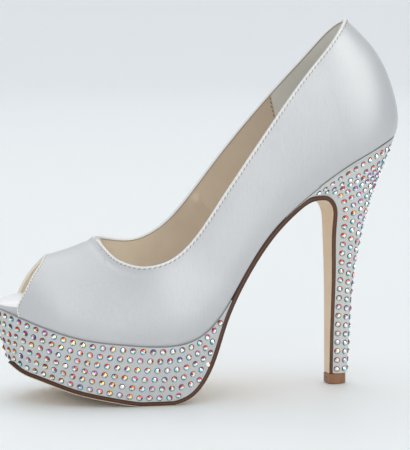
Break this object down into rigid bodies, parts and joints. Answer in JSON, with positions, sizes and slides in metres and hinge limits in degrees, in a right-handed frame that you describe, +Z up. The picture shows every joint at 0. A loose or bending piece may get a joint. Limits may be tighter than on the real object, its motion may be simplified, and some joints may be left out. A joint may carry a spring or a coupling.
{
  "type": "platform pump shoe",
  "caption": "Left peep-toe pump with a hollow satin upper on a platform and a slim high heel, open at collar and toe, standing empty on its sole.",
  "frame": {"origin": "on the floor, under the middle of the shoe's box", "axes": "+X from toe to heel, +Y from the outer to the inner side of the foot, +Z up"},
  "size_m": [0.2198, 0.0822, 0.1981],
  "materials": {
    "upper": "white satin",
    "insole": "padded white satin",
    "platform": "pale grey satin set with small stones",
    "outsole": "dark brown edge, smooth",
    "heel": "pale grey satin set with small stones",
    "top_piece": "tan, matt"
  },
  "bodies": {
    "root": {"upper": "upper", "insole": "insole", "platform": "platform", "outsole": "outsole", "heel": "heel", "top_piece": "top_piece"}
  },
  "joints": []
}
